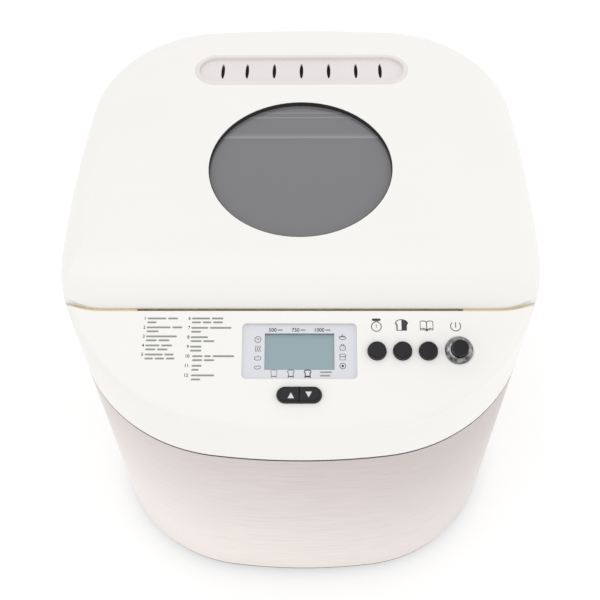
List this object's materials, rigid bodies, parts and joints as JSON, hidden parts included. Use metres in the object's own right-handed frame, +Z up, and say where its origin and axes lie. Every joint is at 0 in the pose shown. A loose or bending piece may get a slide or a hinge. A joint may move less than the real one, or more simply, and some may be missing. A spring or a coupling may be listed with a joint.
{
  "type": "bread machine",
  "caption": "Countertop bread machine: hinged lid with a round window, sloped control panel with keys and display, steel wrap, lift-out pan and belt-driven paddle.",
  "frame": {"origin": "on the table under the middle of the machine's box", "axes": "+Z up, front and control panel towards -Y, +X to the right seen from the front"},
  "size_m": [0.3, 0.3284, 0.2824],
  "materials": {
    "white_plastic": "smooth moulded, soft gloss",
    "brushed_steel": "fine horizontal brushing",
    "beige_plastic": "moulded, heat resistant",
    "black_gloss": "glossy keys",
    "chrome": "polished",
    "grey_glass": "grey tinted window",
    "clear_glass": "clear",
    "lcd_glass": "grey green display",
    "bezel_plastic": "pale blue grey",
    "silver_plastic": "silver paint",
    "black_rubber": "matt",
    "black_plastic": "moulded",
    "grey_plastic": "moulded",
    "sheet_steel": "plain sheet",
    "nonstick": "dark non-stick coat",
    "heater_steel": "heat-darkened tube",
    "circuit_board": "green board",
    "motor_steel": "painted can",
    "bronze": "sintered bush",
    "screw_steel": "plated",
    "ceramic": "white ceramic"
  },
  "bodies": {
    "machine": {"rubber_feet": "black_rubber", "base_tray": "grey_plastic", "base_screws": "screw_steel", "steel_wrap": "brushed_steel", "cord_gland": "black_plastic", "seam_gasket": "black_rubber", "upper_housing": "white_plastic", "chamber_frame": "beige_plastic", "hinge_pins": "screw_steel", "start_ring": "chrome", "lcd_bezel": "bezel_plastic", "lcd_screen": "lcd_glass", "lcd_module": "black_plastic", "control_board": "circuit_board", "tact_switches": "black_plastic", "board_screws": "screw_steel", "baking_chamber": "sheet_steel", "heating_element": "heater_steel", "heater_terminals": "ceramic", "heater_clips": "sheet_steel", "heat_shield": "sheet_steel", "temperature_sensor": "chrome", "pan_clips": "sheet_steel", "chassis_plate": "sheet_steel", "chassis_screws": "screw_steel", "bearing_housing": "motor_steel", "drive_bushes": "bronze", "drive_belt": "black_rubber", "motor_body": "motor_steel", "run_capacitor": "grey_plastic", "power_board": "circuit_board"},
    "lid": {"lid_shell": "white_plastic", "window_pane": "grey_glass", "window_gasket": "black_rubber", "window_retainer": "black_plastic", "lid_liner": "sheet_steel", "inner_pane": "clear_glass", "vent_strip": "silver_plastic", "vent_filter": "black_plastic", "lid_screws": "screw_steel"},
    "timer_button": {"timer_button": "black_gloss"},
    "crust_button": {"crust_button": "black_gloss"},
    "menu_button": {"menu_button": "black_gloss"},
    "start_button": {"start_button": "black_gloss"},
    "up_button": {"up_button": "black_gloss"},
    "down_button": {"down_button": "black_gloss"},
    "pan": {"bread_pan": "nonstick", "pan_foot": "nonstick", "pan_bush": "bronze", "pan_seal": "black_rubber"},
    "handle": {"pan_handle": "chrome"},
    "paddle": {"pan_shaft": "screw_steel", "pan_dog": "sheet_steel", "kneading_paddle": "nonstick"},
    "drive": {"drive_shaft": "screw_steel", "drive_dog": "sheet_steel", "driven_pulley": "black_plastic"},
    "motor": {"motor_shaft": "screw_steel", "motor_pulley": "sheet_steel"}
  },
  "joints": [
    {"name": "lid_hinge", "type": "hinge", "parent": "machine", "child": "lid", "pos_m": [0, 0.15875, 0.256], "axis": [-1, 0, 0], "range_deg": [0, 95]},
    {"name": "timer_press", "type": "slide", "parent": "machine", "child": "timer_button", "axis": [0, 0.3074, -0.9516], "range_m": [0, 0.0012], "stiffness_N_per_m": 400},
    {"name": "crust_press", "type": "slide", "parent": "machine", "child": "crust_button", "axis": [0, 0.3074, -0.9516], "range_m": [0, 0.0012], "stiffness_N_per_m": 400},
    {"name": "menu_press", "type": "slide", "parent": "machine", "child": "menu_button", "axis": [0, 0.3074, -0.9516], "range_m": [0, 0.0012], "stiffness_N_per_m": 400},
    {"name": "start_press", "type": "slide", "parent": "machine", "child": "start_button", "axis": [0, 0.3074, -0.9516], "range_m": [0, 0.0012], "stiffness_N_per_m": 400},
    {"name": "up_press", "type": "slide", "parent": "machine", "child": "up_button", "axis": [0, 0.3074, -0.9516], "range_m": [0, 0.0012], "stiffness_N_per_m": 400},
    {"name": "down_press", "type": "slide", "parent": "machine", "child": "down_button", "axis": [0, 0.3074, -0.9516], "range_m": [0, 0.0012], "stiffness_N_per_m": 400},
    {"name": "pan_lift", "type": "slide", "parent": "machine", "child": "pan", "axis": [0, 0, 1], "range_m": [0, 0.015]},
    {"name": "handle_swing", "type": "hinge", "parent": "pan", "child": "handle", "pos_m": [0, 0.017, 0.196], "axis": [-1, 0, 0], "range_deg": [0, 176]},
    {"name": "drive_spin", "type": "hinge", "parent": "machine", "child": "drive", "pos_m": [0, 0.017, 0.04], "axis": [0, 0, 1], "continuous": true},
    {"name": "paddle_spin", "type": "hinge", "parent": "pan", "child": "paddle", "pos_m": [0, 0.017, 0.07], "axis": [0, 0, 1], "continuous": true},
    {"name": "motor_spin", "type": "hinge", "parent": "machine", "child": "motor", "pos_m": [0, -0.117, 0.06], "axis": [0, 0, 1], "continuous": true}
  ],
  "couplings": [
    {"joint": "paddle_spin", "follows": "drive_spin", "ratio": 1},
    {"joint": "motor_spin", "follows": "drive_spin", "ratio": 5}
  ]
}
